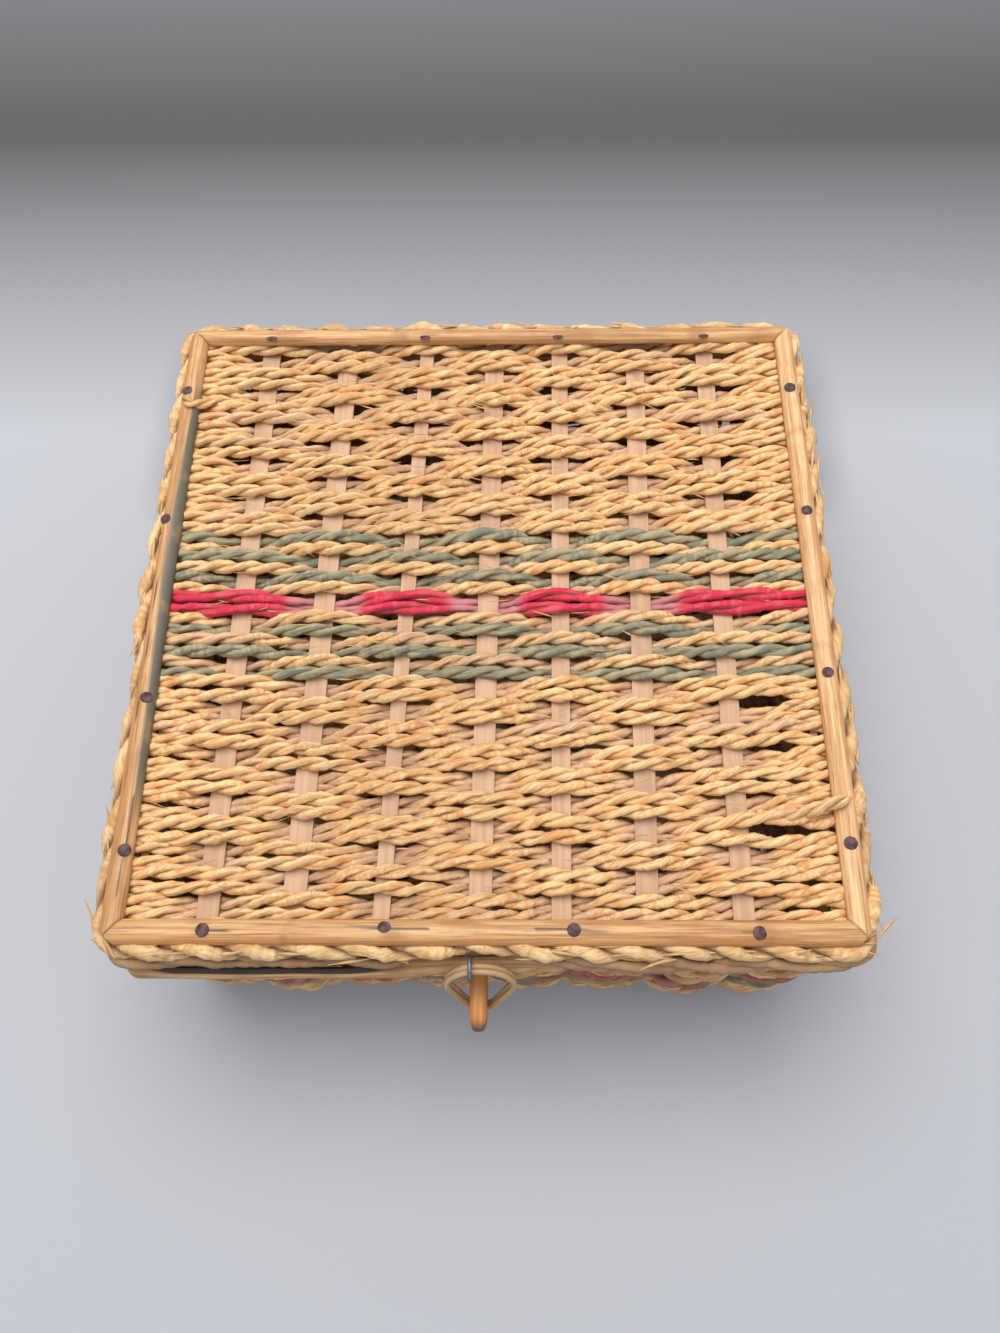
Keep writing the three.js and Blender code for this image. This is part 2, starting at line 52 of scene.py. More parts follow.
class Sock:
    def __init__(self, graph, socket):
        self.graph = graph
        self.socket = socket

    def out(self, name):
        sockets = self.socket.node.outputs
        return Sock(self.graph, next(s for s in sockets if s.enabled and s.name == name))

    def op(self, name, *others):
        return self.graph.maths(name, self, *others)

    def __add__(self, other):
        return self.op("ADD", other)

    def __sub__(self, other):
        return self.op("SUBTRACT", other)

    def __mul__(self, other):
        return self.op("MULTIPLY", other)

    def __truediv__(self, other):
        return self.op("DIVIDE", other)

    def __rsub__(self, other):
        return self.graph.maths("SUBTRACT", other, self)

    def __rtruediv__(self, other):
        return self.graph.maths("DIVIDE", other, self)

    __radd__ = __add__
    __rmul__ = __mul__

    def ramp(self, low, high, start=0.0, end=1.0):
        return self.graph.node("ShaderNodeMapRange", {
            "Value": self, "From Min": low, "From Max": high, "To Min": start, "To Max": end,
        })


class Graph:
    def __init__(self, tree):
        self.tree = tree
        tree.nodes.clear()

    def feed(self, socket, value):
        if isinstance(value, Sock):
            self.tree.links.new(value.socket, socket)
        elif socket.type in ("VECTOR", "ROTATION") and isinstance(value, (int, float)):
            socket.default_value = (value,) * 3
        else:
            socket.default_value = value

    def node(self, kind, values=(), **settings):
        made = self.tree.nodes.new(kind)
        for name, value in settings.items():
            setattr(made, name, value)
        inputs = [s for s in made.inputs if s.enabled]
        if isinstance(values, dict):
            for name, value in values.items():
                self.feed(next(s for s in inputs if s.name == name), value)
        else:
            for socket, value in zip(inputs, values):
                self.feed(socket, value)
        return Sock(self, next((s for s in made.outputs if s.enabled), None))

    def maths(self, name, *values):
        vectors = any(isinstance(v, Sock) and v.socket.type == "VECTOR" for v in values)
        kind = "ShaderNodeVectorMath" if vectors else "ShaderNodeMath"
        return self.node(kind, values, operation=name)

    def vector(self, *parts):
        return self.node("ShaderNodeCombineXYZ", parts)

    def noise(self, spot, scale, detail, **more):
        return self.node("ShaderNodeTexNoise", {"Vector": spot, "Scale": scale, "Detail": detail, **more})

    def mix(self, factor, first, second):
        return self.node("ShaderNodeMix", {"Factor": factor, "A": first, "B": second}, data_type="RGBA")


def meshPoints(mesh):
    points = np.empty(len(mesh.vertices) * 3)
    mesh.vertices.foreach_get("co", points)
    return points.reshape(-1, 3) / mm


def cadPoints(node):
    return meshPoints(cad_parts[node].data)


def cadBoxOf(node):
    low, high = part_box(node)
    return np.array(low) / mm, np.array(high) / mm


def smooth(value, low=0.0, high=1.0):
    share = np.clip((value - low) / (high - low), 0, 1)
    return share * share * (3 - 2 * share)


def drift(count, spacing, size):
    knots = rng.normal(0, size, int(count / spacing) + 4)
    places = np.linspace(0, len(knots) - 1.001, count)
    low = places.astype(int)
    share = smooth(places - low)
    return knots[low] * (1 - share) + knots[low + 1] * share


def runOf(points):
    return np.concatenate([[0], np.cumsum(np.linalg.norm(np.diff(points, axis=0), axis=1))])


def pointsAt(places, run, points):
    return np.stack([np.interp(places, run, column) for column in points.T], 1)


def circle(count):
    return np.linspace(0, turn, count + 1)[:-1]


def humps(value, table):
    return sum(far * np.exp(-((value - place) / length) ** 2) for place, length, far in table)


def linked(name, data):
    made = bpy.data.objects.new(name, data)
    bpy.context.scene.collection.objects.link(made)
    return made


def newObject(name, mesh, body, replaced=()):
    piece = linked(name, mesh)
    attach(piece, body)
    if replaced:
        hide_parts(*replaced)


# Cords: centre lines with attributes go in, twisted plies come out.


def pathMesh(name, paths):
    mesh = bpy.data.meshes.new(name)
    counts = [len(path["points"]) for path in paths]
    starts = np.concatenate([[0], np.cumsum(counts)[:-1]])
    edges = [np.stack([np.arange(s, s + n - 1), np.arange(s + 1, s + n)], 1) for s, n in zip(starts, counts)]
    mesh.from_pydata(np.concatenate([path["points"] for path in paths]) * mm, np.concatenate(edges).tolist(), [])
    for field in ("phase", "thick", "tone", "dye", "low"):
        values = np.concatenate([np.broadcast_to(path[field], len(path["points"])) for path in paths])
        mesh.attributes.new(field, "FLOAT", "POINT").data.foreach_set("value", values.astype(np.float32))
    return mesh


def newGeometryTree(name, sockets):
    tree = bpy.data.node_groups.new(name, "GeometryNodeTree")
    graph = Graph(tree)
    tree.interface.new_socket("Geometry", in_out="OUTPUT", socket_type="NodeSocketGeometry")
    tree.interface.new_socket("Geometry", in_out="INPUT", socket_type="NodeSocketGeometry")
    for socket, kind in sockets.items():
        tree.interface.new_socket(socket, in_out="INPUT", socket_type="NodeSocket" + kind)
    return tree, graph, graph.node("NodeGroupInput")


def endTree(graph, geometry, material):
    shown = graph.node("GeometryNodeRealizeInstances", {"Geometry": geometry})
    shown = graph.node("GeometryNodeSetMaterial", {"Geometry": shown, "Material": material})
    graph.node("NodeGroupOutput", {"Geometry": shown})


def runNodes(mesh, tree, values):
    holder = linked(mesh.name + "_paths", mesh)
    modifier = holder.modifiers.new("nodes", "NODES")
    modifier.node_group = tree
    for item in tree.interface.items_tree:
        if item.in_out == "INPUT" and item.name in values:
            modifier[item.identifier] = values[item.name]
    shown = holder.evaluated_get(bpy.context.evaluated_depsgraph_get())
    made = bpy.data.meshes.new_from_object(shown)
    made.name = mesh.name
    holder.modifiers.remove(modifier)
    bpy.data.objects.remove(holder)
    return made


def stored(graph, geometry, name, kind, value):
    values = {"Geometry": geometry, "Name": name, "Value": value}
    return graph.node("GeometryNodeStoreNamedAttribute", values, data_type=kind, domain="POINT")


def read(graph, name, kind="FLOAT"):
    return graph.node("GeometryNodeInputNamedAttribute", {"Name": name}, data_type=kind)


def plyTree():
    tree, graph, given = newGeometryTree("twisted cord", {
        "Step": "Float", "Plies": "Int", "Offset": "Float", "Ply radius": "Float",
        "Sides": "Int", "Unevenness": "Float", "Leaf": "Float", "Material": "Material",
    })
    curve = graph.node("GeometryNodeMeshToCurve", {"Mesh": given.out("Geometry")})
    curve = graph.node("GeometryNodeResampleCurve", {"Curve": curve, "Length": given.out("Step")}, mode="LENGTH")
    place = graph.node("GeometryNodeInputPosition")
    curve = stored(graph, curve, "core", "FLOAT_VECTOR", place)
    copies = graph.node("GeometryNodeDuplicateElements", {
        "Geometry": curve, "Amount": given.out("Plies"),
    }, domain="SPLINE")
    number = copies.out("Duplicate Index")
    along = graph.node("GeometryNodeInputTangent")
    across = graph.maths("NORMALIZE", graph.maths("CROSS_PRODUCT", along, graph.vector(0.0, 0.0, 1.0)))
    upward = graph.maths("CROSS_PRODUCT", across, along)
    angle = read(graph, "phase") + number * turn / given.out("Plies")
    thick = read(graph, "thick")
    offset = (across * angle.op("COSINE") + upward * angle.op("SINE")) * (given.out("Offset") * thick)
    plies = stored(graph, copies, "ply", "FLOAT", number * 1.0)
    plies = graph.node("GeometryNodeSetPosition", {"Geometry": plies, "Offset": offset})
    lump = graph.noise(place * (1 / mm), 0.35, 1.0)
    swell = (lump.ramp(0.3, 0.7, -1.0, 1.0) * given.out("Unevenness") + 1.0) * thick
    swell = swell * ((angle - 1.2).op("COSINE") * given.out("Leaf") + 1.0)
    ring = graph.node("GeometryNodeCurvePrimitiveCircle", {
        "Resolution": given.out("Sides"), "Radius": given.out("Ply radius"),
    }, mode="RADIUS")
    ring = stored(graph, ring, "around", "FLOAT", graph.node("GeometryNodeSplineParameter").out("Factor"))
    plies = stored(graph, plies, "along", "FLOAT", graph.node("GeometryNodeSplineParameter").out("Length"))
    tubes = graph.node("GeometryNodeCurveToMesh", {
        "Curve": plies, "Profile Curve": ring, "Scale": swell, "Fill Caps": True,
    })
    depth = graph.maths("DISTANCE", place, read(graph, "core", "FLOAT_VECTOR"))
    tubes = stored(graph, tubes, "depth", "FLOAT", depth / (given.out("Offset") + given.out("Ply radius")))
    tubes = graph.node("GeometryNodeSetShadeSmooth", {"Geometry": tubes})
    endTree(graph, tubes, given.out("Material"))
    return tree


cordTree = plyTree()


def newMaterial(name):
    material = bpy.data.materials.new(name)
    material.use_nodes = True
    return material, Graph(material.node_tree)


def finishMaterial(graph, colour, roughness, height, strength, distance, metallic=0.0):
    bump = graph.node("ShaderNodeBump", {"Strength": strength, "Distance": distance, "Height": height})
    surface = graph.node("ShaderNodeBsdfPrincipled", {
        "Base Color": colour, "Roughness": roughness, "Metallic": metallic, "Normal": bump,
    })
    graph.node("ShaderNodeOutputMaterial", {"Surface": surface})


def shaderAttribute(graph, name):
    return graph.node("ShaderNodeAttribute", attribute_name=name).out("Fac")


def srgb(parts):
    lows = [part / 255 for part in parts]
    return tuple(p / 12.92 if p <= 0.04045 else ((p + 0.055) / 1.055) ** 2.4 for p in lows) + (1.0,)


def cordMaterial(name, colours):
    material, graph = newMaterial(name)
    fields = ("along", "around", "tone", "dye", "low", "depth", "ply")
    along, around, tone, dye, low, depth, ply = (shaderAttribute(graph, field) for field in fields)
    along = along * (1 / mm)
    strand = ply * 7.0 + tone * 31.0
    turned = around * turn + along * colours["spiral"]
    wide = colours["fibreWide"]
    fibreSpot = graph.vector(
        turned.op("COSINE") * wide + strand, turned.op("SINE") * wide, along * colours["fibreLong"],
    )
    fibres = graph.noise(fibreSpot, colours["fibreScale"], 3.0, Roughness=0.6)
    patchSpot = graph.vector(strand, turned.op("SINE") * colours["patchWide"], along * colours["patchLong"])
    patches = graph.noise(patchSpot, 1.0, 2.0)
    straw = graph.mix(patches.ramp(0.4, 0.62), srgb(colours["mid"]), srgb(colours["pale"]))
    straw = graph.mix(patches.ramp(0.45, 0.28, 0.0, 0.9), straw, srgb(colours["amber"]))
    # Cords turn mauve where their random tone runs high, and where the low field asks for it, which paints shade on
    # dips, recessed wall runs and the edging bundle.
    mauveToneAndShade = graph.maths("MAXIMUM", tone.ramp(0.75, 1.1, 0.0, 0.7), low)
    straw = graph.mix(mauveToneAndShade, straw, srgb(colours["mauve"]))
    straw = graph.mix(fibres.ramp(0.54, 0.34, 0.0, 0.7), straw, srgb(colours["brown"]))
    green = graph.mix(patches.ramp(0.38, 0.6), srgb(colours["green"]), srgb(colours["greenPale"]))
    red = graph.mix(patches.ramp(0.45, 0.7), srgb(colours["red"]), srgb(colours["redPale"]))
    red = graph.mix(low, red, srgb(colours["pink"]))
    colour = graph.mix(dye.ramp(0.0, 1.0), straw, green)
    colour = graph.mix(dye.ramp(1.0, 2.0), colour, red)
    # Painted shade: the cords darken towards the deep colour in the creases where their plies meet.
    colour = graph.mix(depth.ramp(*colours["creaseShade"], 0.0, 0.75), colour, srgb(colours["deep"]))
    finishMaterial(graph, colour, colours["rough"], fibres, colours["bump"], colours["bumpHigh"] * mm)
    return material


cordColours = dict(
    pale=(240, 206, 151), mid=(238, 189, 128), amber=(222, 154, 90), mauve=(204, 170, 146), brown=(186, 124, 78),
    deep=(136, 84, 58), creaseShade=(0.68, 0.28), green=(122, 126, 108), greenPale=(172, 160, 124), red=(206, 38, 72),
    redPale=(222, 84, 92), pink=(200, 130, 132), spiral=0.22, fibreWide=1.7, fibreLong=0.08, fibreScale=1.6,
    patchWide=0.5, patchLong=0.09, rough=0.78, bump=0.75, bumpHigh=0.5,
)
strawy = cordMaterial("twisted straw cord", cordColours)
# The rush's mauve is dark: it is the painted shade of the bundle beneath the plait and of the plait's shaded strands.
rushy = cordMaterial("plaited rush", dict(
    cordColours, pale=(236, 204, 150), mid=(218, 178, 124), amber=(198, 146, 90), mauve=(134, 104, 78),
    deep=(116, 78, 54), creaseShade=(0.86, 0.48),
))
# A darker copy of the cord colours for the walls and the foot: painted shade, as the walls stand in shade below the
# lid.
shadedWallCord = cordMaterial("wall cord", dict(
    cordColours, pale=(228, 190, 134), mid=(216, 168, 108), amber=(196, 136, 80), mauve=(176, 142, 116),
    brown=(158, 104, 66), green=(106, 108, 90), greenPale=(150, 138, 104), red=(176, 44, 66), redPale=(190, 78, 80),
    pink=(170, 118, 108),
))
loose = cordMaterial("loose fibre", dict(cordColours, deep=(226, 186, 130), brown=(206, 156, 104)))


# The lid's woven mat: double cords run left to right over and under the splints.


def splintEnds(node):
    points = cadPoints(node)
    low, high = points[:, 1].min(), points[:, 1].max()
    front = points[points[:, 1] < low + 1]
    back = points[points[:, 1] > high - 1]
    return (front[:, 0].min() + front[:, 0].max()) / 2, (back[:, 0].min() + back[:, 0].max()) / 2, low, high


# Where the mat's cords have parted: the place, the length and the width of each gap.
matGaps = [
    (94.0, -34.5, 9.0, 2.6), (98.0, -48.2, 6.0, 1.9), (94.0, -78.0, 11.0, 2.7),
    (-88.9, 39.4, 7.0, 1.2), (-95.9, 62.9, 6.0, 1.2), (-55.4, 86.9, 7.0, 1.3),
    (-26.5, 62.6, 6.0, 1.2), (84.0, 62.0, 6.0, 1.2), (93.8, 48.1, 7.0, 1.3),
]
lidSplints = [splintEnds(f"lid_splint_{i + 1}") for i in range(9)]
lidMat = dict(
    level=88.705, wave=2.75, pitch=8.111, apart=2.03, reach=113.0, step=1.0, lay=21.0, rows=27,
    redLay=46.0, offset=1.1, ply=1.4, sides=8, uneven=0.2, spread=0.17, gapReach=7.0, greenRows=3,
)
frontRail = cadBoxOf("lid_rail_front")
backRail = cadBoxOf("lid_rail_back")
lidMiddle = (frontRail[0][1] + backRail[1][1]) / 2


def overUnder(x, crossings, signs):
    index = np.clip(np.searchsorted(crossings, x) - 1, 0, len(crossings) - 2)
    share = np.clip((x - crossings[index]) / (crossings[index + 1] - crossings[index]), 0, 1)
    bend = np.cos(math.pi * share)
    bend = np.sign(bend) * np.abs(bend) ** 0.8
    return (signs[index] * (1 + bend) + signs[index + 1] * (1 - bend)) / 2


def alternate(count, row):
    return np.where((np.arange(count) + row) % 2 == 0, 1, -1)


# How far a cord's own measures wander: the spacing of the changes, in steps, and their size.
cordDrift = dict(pace=(25, 0.07), thick=(9, 0.045), tone=(30, 0.18))


def cordPath(points, lay, dye, spin=1):
    steps = np.linalg.norm(np.diff(points, axis=0), axis=1)
    count = len(points)
    pace = 1 + drift(count, *cordDrift["pace"])
    phase = spin * np.cumsum(np.concatenate([[0], steps]) * pace) * turn / lay + rng.uniform(0, turn)
    return dict(
        points=points, phase=phase, thick=rng.normal(1, 0.03) + drift(count, *cordDrift["thick"]),
        tone=np.clip(rng.uniform(0.1, 0.9) + drift(count, *cordDrift["tone"]), 0, 1), dye=dye, low=0.0,
    )


def lidRow(row):
    x = np.arange(-lidMat["reach"], lidMat["reach"] + 0.1, 1.0)
    rowY = lidMiddle + (row - (lidMat["rows"] - 1) / 2) * lidMat["pitch"]
    share = (rowY - lidSplints[0][2]) / (lidSplints[0][3] - lidSplints[0][2])
    crossings = np.array([front + (back - front) * share for front, back, _, _ in lidSplints])
    signs = alternate(len(lidSplints), row)
    signs[[0, -1]] = 1
    shape = overUnder(x, crossings, signs)
    centre = (lidMat["rows"] - 1) // 2
    steps = abs(row - centre)
    paths = []
    for side in ((1,) if row < 0 else (-1, 1)):
        dyed = 0
        if steps == 0:
            dyed = 2
        elif steps <= lidMat["greenRows"] and side * (row - centre) > 0:
            dyed = 1
        lineY = rowY + side * lidMat["apart"]
        y = lineY + side * lidMat["apart"] * lidMat["spread"] * shape + drift(len(x), 18, 0.3)
        for gapX, gapY, length, width in matGaps:
            away = ((x - gapX) / length) ** 2 + abs(lineY - gapY) / lidMat["gapReach"]
            y = y + width * np.exp(-away) * np.sign(lineY - gapY)
        z = lidMat["level"] + lidMat["wave"] * shape * (1 + drift(len(x), 20, 0.05))
        path = cordPath(np.stack([x, y, z], 1), lidMat["redLay"] if steps == 0 else lidMat["lay"], dyed)
        # The low field marks where a cord dips under a splint: straw cords get a painted mauve shade there, and red
        # cords turn pink.
        path["low"] = smooth(-shape, -0.35, 0.55) if steps == 0 else 0.7 * smooth(-shape, 0.0, 1.0)
        paths.append(path)
    return paths


lidBands = [
    ("lid_weft_front_straw", -1, 10), ("lid_weft_front_green", 10, 13), ("lid_weft_red", 13, 14),
    ("lid_weft_back_green", 14, 17), ("lid_weft_back_straw", 17, 28),
]


def addCords(name, paths, settings, material, body, replaced):
    mesh = runNodes(pathMesh(name, paths), cordTree, {
        "Step": settings["step"] * mm, "Plies": settings.get("plies", 2), "Offset": settings["offset"] * mm,
        "Ply radius": settings["ply"] * mm, "Sides": settings["sides"], "Unevenness": settings["uneven"],
        "Leaf": settings.get("leaf", 0.0), "Material": material,
    })
    newObject(name, mesh, body, replaced)


for node, first, last in lidBands:
    rows = [path for row in range(first, last) for path in lidRow(row)]
    addCords("cords_" + node, rows, lidMat, strawy, "lid", [node])
print("lid mat woven")


# The basket's walls: double cords climb round the stakes in one long run of each colour.


def loopTrack(halfX, halfY, radius, middle, step):
    spots = []
    normals = []
    for pivotX, pivotY, first, last in (
        (-1, 1, 135, 180), (-1, -1, 180, 270), (1, -1, 270, 360), (1, 1, 0, 90), (-1, 1, 90, 135),
    ):
        for angle in np.radians(np.linspace(first, last, 25)):
            normal = np.array([math.cos(angle), math.sin(angle)])
            pivot = np.array([pivotX * (halfX - radius), middle + pivotY * (halfY - radius)])
            spots.append(pivot + normal * radius)
            normals.append(normal)
    spots, normals = np.array(spots), np.array(normals)
    run = runOf(spots)
    keep = np.concatenate([[True], np.diff(run) > 1e-6])
    spots, normals, run = spots[keep], normals[keep], run[keep]
    places = np.linspace(0, run[-1], int(run[-1] / step) + 1)
    return pointsAt(places, run, spots), pointsAt(places, run, normals), places


wall = dict(
    halfX=110.5, halfY=114.5, radius=10.0, foot=9.157, pitch=8.1, wave=2.3, apart=2.0, climb=13.0,
    step=1.4, lay=21.0, offset=1.2, ply=1.55, sides=6, uneven=0.2, frontY=-90, partedRow=6,
)
staple = dict(
    x=-2.2, tip=-137.6, upper=69.9065, lower=61.8065, inner=-108.54, wide=5.6, thick=3.0,
    narrowing=0.34, narrowFrom=4.0, narrowTo=0.2, darkness=1.25, darkFrom=4.6, darkTo=0.6,
)
# Places along x with a length and a size: where the front wall bulges, and where its cords part at the staple.
wallBulges = [(-74.0, 14.0, 0.9), (14.0, 12.0, 0.5), (72.0, 22.0, 1.1), (105.0, 9.0, 0.6)]
wallParting = [(staple["x"], 6.5, 1.5)]
stakesAcross = sorted(sum(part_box(f"body_splint_long_{i + 1}")[k][0] for k in (0, 1)) / 2 / mm for i in range(8))
stakesAlong = sorted(sum(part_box(f"body_splint_cross_{i + 1}")[k][1] for k in (0, 1)) / 2 / mm for i in range(9))


def wallRun(firstRow, rows, dyes):
    halfX, halfY = wall["halfX"], wall["halfY"]
    spots, normals, places = loopTrack(halfX, halfY, wall["radius"], middle=0.0, step=1.2)
    around = places[-1]
    feet = [(-halfX, y) for y in reversed(stakesAlong)] + [(x, -halfY) for x in stakesAcross]
    feet += [(halfX, y) for y in stakesAlong] + [(x, halfY) for x in reversed(stakesAcross)]
    stakes = [places[np.argmin(np.hypot(spots[:, 0] - x, spots[:, 1] - y))] for x, y in feet]
    crossings = np.array([row * around + s for row in range(-1, rows + 1) for s in stakes])
    signs = np.concatenate([alternate(len(stakes), row) for row in range(firstRow - 1, firstRow + rows + 1)])
    run = np.concatenate([places[:-1] + row * around for row in range(rows)])
    spot = np.tile(spots[:-1], (rows, 1))
    normal = np.tile(normals[:-1], (rows, 1))
    off = wall["wave"] * overUnder(run, crossings, signs)
    loose = humps(spot[:, 0], wallBulges) * (spot[:, 1] < wall["frontY"])
    off = off * (1 + loose * (off > 0))
    level = wall["foot"] + wall["pitch"] * (firstRow - 0.5)
    for row in range(rows + 1):
        level = level + wall["pitch"] * smooth(run - row * around, -wall["climb"], wall["climb"])
    parting = humps(spot[:, 0], wallParting) * (spot[:, 1] < 0) * (firstRow >= wall["partedRow"])
    paths = []
    for side, dye in zip((-1, 1), dyes):
        push = off + drift(len(run), 16, 0.2)
        z = level + side * (wall["apart"] + parting) + drift(len(run), 16, 0.25)
        points = np.column_stack([spot + normal * push[:, None], z])
        path = cordPath(points, wall["lay"], dye * (0.74 + drift(len(run), 30, 0.12)))
        # Painted shade: the wall cords take some mauve all along, and more where they pass inside the stakes.
        path["low"] = np.clip(0.4 - 0.3 * off / wall["wave"], 0, 1)
        paths.append(path)
    return paths


wallBands = [
    ("wall_weft_lower_straw", 0, 2, (0, 0)), ("wall_weft_lower_green", 2, 1, (0, 1)), ("wall_weft_red", 3, 2, (2, 2)),
    ("wall_weft_upper_green", 5, 1, (1, 0)), ("wall_weft_upper_straw", 6, 2, (0, 0)),
]
for node, first, count, dyes in wallBands:
    addCords("cords_" + node, wallRun(first, count, dyes), wall, shadedWallCord, "basket", [node])
print("walls woven")

floorMat = dict(
    level=6.157, wave=2.6, pitch=8.1, apart=2.0, reach=105.0, rows=27, step=2.0, lay=21.0,
    offset=1.15, ply=1.45, sides=6, uneven=0.2,
)


def floorRow(row):
    x = np.arange(-floorMat["reach"], floorMat["reach"] + 0.1, 1.5)
    shape = overUnder(x, np.array(stakesAcross), alternate(len(stakesAcross), row))
    paths = []
    for side in (-1, 1):
        y = (row - (floorMat["rows"] - 1) / 2) * floorMat["pitch"] + side * floorMat["apart"] + drift(len(x), 18, 0.2)
        z = floorMat["level"] + floorMat["wave"] * shape
        paths.append(cordPath(np.stack([x, y, z], 1), floorMat["lay"], 0))
    return paths


rows = [path for row in range(floorMat["rows"]) for path in floorRow(row)]
addCords("cords_base_weft", rows, floorMat, strawy, "basket", ["base_weft"])


def footRun(inset, level):
    spots, _, places = loopTrack(wall["halfX"] - inset, wall["halfY"] - inset, radius=6.0, middle=0.0, step=1.2)
    points = np.column_stack([spots, level + drift(len(places), 20, 0.15)])
    return cordPath(points, wall["lay"], 0)


foot = dict(wall, ply=1.45)
footRuns = [footRun(inset=5.6, level=8.2), footRun(inset=3.4, level=3.6)]
addCords("cords_wall_foot", footRuns, foot, shadedWallCord, "basket", ["base_weft"])
print("base woven")

# The plaited edging round the lid, with a smoother bundle below it.

edging = dict(half=118.4, radius=9.5, level=91.7, step=1.0, lay=34.0, offset=1.35, ply=1.65,
              sides=12, uneven=0.16, mauveToneAndShade=0.05, leaf=0.38, fringe=0.0)
# The bundle's high share of mauve is painted shade beneath the plait; the plait above takes only a little.
underEdging = dict(half=118.8, radius=9.5, level=87.3, step=1.5, lay=52.0, offset=0.8, ply=1.3,
                   sides=8, uneven=0.2, mauveToneAndShade=0.75, fringe=2.6)
# Where the edging stands off the left side: the place along y, the length and the distance.
edgeSlack = [(2, 9, 1.7), (26, 6, 1.2)]
# How the edging gives way to the ring, and where the bundle stands out on both sides of it.
edgeFront = dict(ring=11.0, give=1.6, right=(12, 34), left=(20, 34), leftShare=0.7, facing=(0.2, 0.9), swell=0.14)


def edgeRun(settings):
    spots, normals, places = loopTrack(settings["half"], settings["half"], settings["radius"], lidMiddle, 1.0)
    x = spots[:, 0]
    atRing = np.exp(-((x - staple["x"]) / edgeFront["ring"]) ** 4) * (spots[:, 1] < 0)
    fringe = smooth(x, *edgeFront["right"]) + edgeFront["leftShare"] * smooth(-x, *edgeFront["left"])
    fringe = fringe * smooth(-normals[:, 1], *edgeFront["facing"]) * settings["fringe"]
    slack = humps(spots[:, 1], edgeSlack) * (x < -100)
    push = drift(len(places), 10, 0.3) - edgeFront["give"] * atRing + fringe + slack
    z = settings["level"] + drift(len(places), 12, 0.35)
    points = np.column_stack([spots + normals * push[:, None], z])
    path = cordPath(points, settings["lay"], 0, spin=-1)
    path["thick"] = path["thick"] + drift(len(places), 8, 0.08) + edgeFront["swell"] * fringe
    path["low"] = settings["mauveToneAndShade"] + drift(len(places), 20, 0.12)
    return [path]


addCords("plait_lid_edge", edgeRun(edging), edging, rushy, "lid", ["lid_edge_braid"])
addCords("bundle_lid_edge", edgeRun(underEdging), underEdging, rushy, "lid", ["lid_edge_braid"])
print("edging plaited")


# Cane and splints: wood with its grain along the run.


def woodMaterial(name, look, across=None, along=None):
    material, graph = newMaterial(name)
    if across is None:
        run, side, high = (shaderAttribute(graph, field) * (1 / mm) for field in ("along", "across", "up"))
    else:
        parts = graph.node("ShaderNodeSeparateXYZ", (graph.node("ShaderNodeTexCoord").out("Object") * (1 / mm),))
        side = parts.out(across)
        run = parts.out(along)
        high = parts.out("Z")
    drawn = graph.vector(run * look["stretch"], side, high * look.get("high", 1.0))
    grain = graph.noise(drawn, look["fine"], 4.0, Roughness=0.6, Distortion=0.3)
    broad = graph.noise(drawn, look["broad"], 2.0)
    blotch = graph.noise(graph.vector(run, side, high), look["blotch"], 3.0)
    colour = graph.mix(broad.ramp(0.4, 0.6), srgb(look["light"]), srgb(look["mid"]))
    # Painted shade: the side of the cane with a high across value (the rails' outer side, the front rim's lower side)
    # is mixed towards a darker orange.
    if "rim" in look:
        colour = graph.mix(side.ramp(1.0, 3.6, 0.0, 0.7), colour, srgb(look["rim"]))
    colour = graph.mix(grain.ramp(0.5, 0.7, 0.0, look["streak"]), colour, srgb(look["dark"]))
    colour = graph.mix(blotch.ramp(0.52, 0.72, 0.0, look["stainAmount"]), colour, srgb(look["stain"]))
    if across is None:
        crack, joint, darkening = (shaderAttribute(graph, field) for field in ("crack", "joint", "darkening"))
        colour = graph.mix(crack, colour, srgb(look["crackColour"]))
        colour = graph.mix(joint * 0.3, colour, srgb(look["jointColour"]))
        # The darkening field: darker along the left rail's inner edge, painted shade at the staple's bent tip, and a
        # painted shadow in the slot behind the front rim.
        colour = graph.mix(darkening * blotch.ramp(0.1, 0.5), colour, srgb(look["darkeningColour"]))
    finishMaterial(graph, colour, look["rough"], grain, look["bump"], 0.25 * mm)
    return material


caneLook = dict(
    stretch=0.035, fine=2.2, broad=0.75, blotch=0.07, streak=0.75, stainAmount=0.6, rough=0.5, bump=0.25,
    light=(212, 168, 116), mid=(178, 127, 76), dark=(124, 78, 42), stain=(156, 102, 56),
    crackColour=(66, 40, 28), jointColour=(150, 100, 60), darkeningColour=(98, 93, 78),
)
splintLook = dict(
    stretch=0.02, fine=2.2, broad=0.5, blotch=0.03, streak=0.3, stainAmount=0.6, rough=0.7, bump=0.2,
    light=(204, 168, 136), mid=(193, 154, 122), dark=(166, 126, 98), stain=(172, 134, 110), high=0.03,
)
caneWood = woodMaterial("split cane", dict(caneLook, rim=(190, 124, 66)))
paleCane = woodMaterial("pale split cane", dict(
    caneLook, light=(232, 190, 140), mid=(202, 152, 100), dark=(146, 98, 58), stain=(178, 124, 76), rim=(200, 136, 78),
))
caneAlongX = woodMaterial("cane run x", caneLook, "Y", "X")
caneAlongY = woodMaterial("cane run y", caneLook, "X", "Y")
splintAlongX = woodMaterial("splint run x", splintLook, "Y", "X")
splintAlongY = woodMaterial("splint run y", splintLook, "X", "Y")


def repaint(nodes, material):
    for node in nodes:
        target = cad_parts[node]
        for slot in target.material_slots:
            slot.material = material


nodes = list(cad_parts)
repaint([n for n in nodes if n.startswith("body_splint_long")], splintAlongY)
repaint([n for n in nodes if n.startswith("body_splint_cross")], splintAlongX)
repaint(["lid_under_rail_front", "lid_under_rail_back", "rim_rod_back"], caneAlongX)
repaint(["lid_under_rail_left", "lid_under_rail_right", "rim_rail_left", "rim_rail_right", "rim_inner"], caneAlongY)

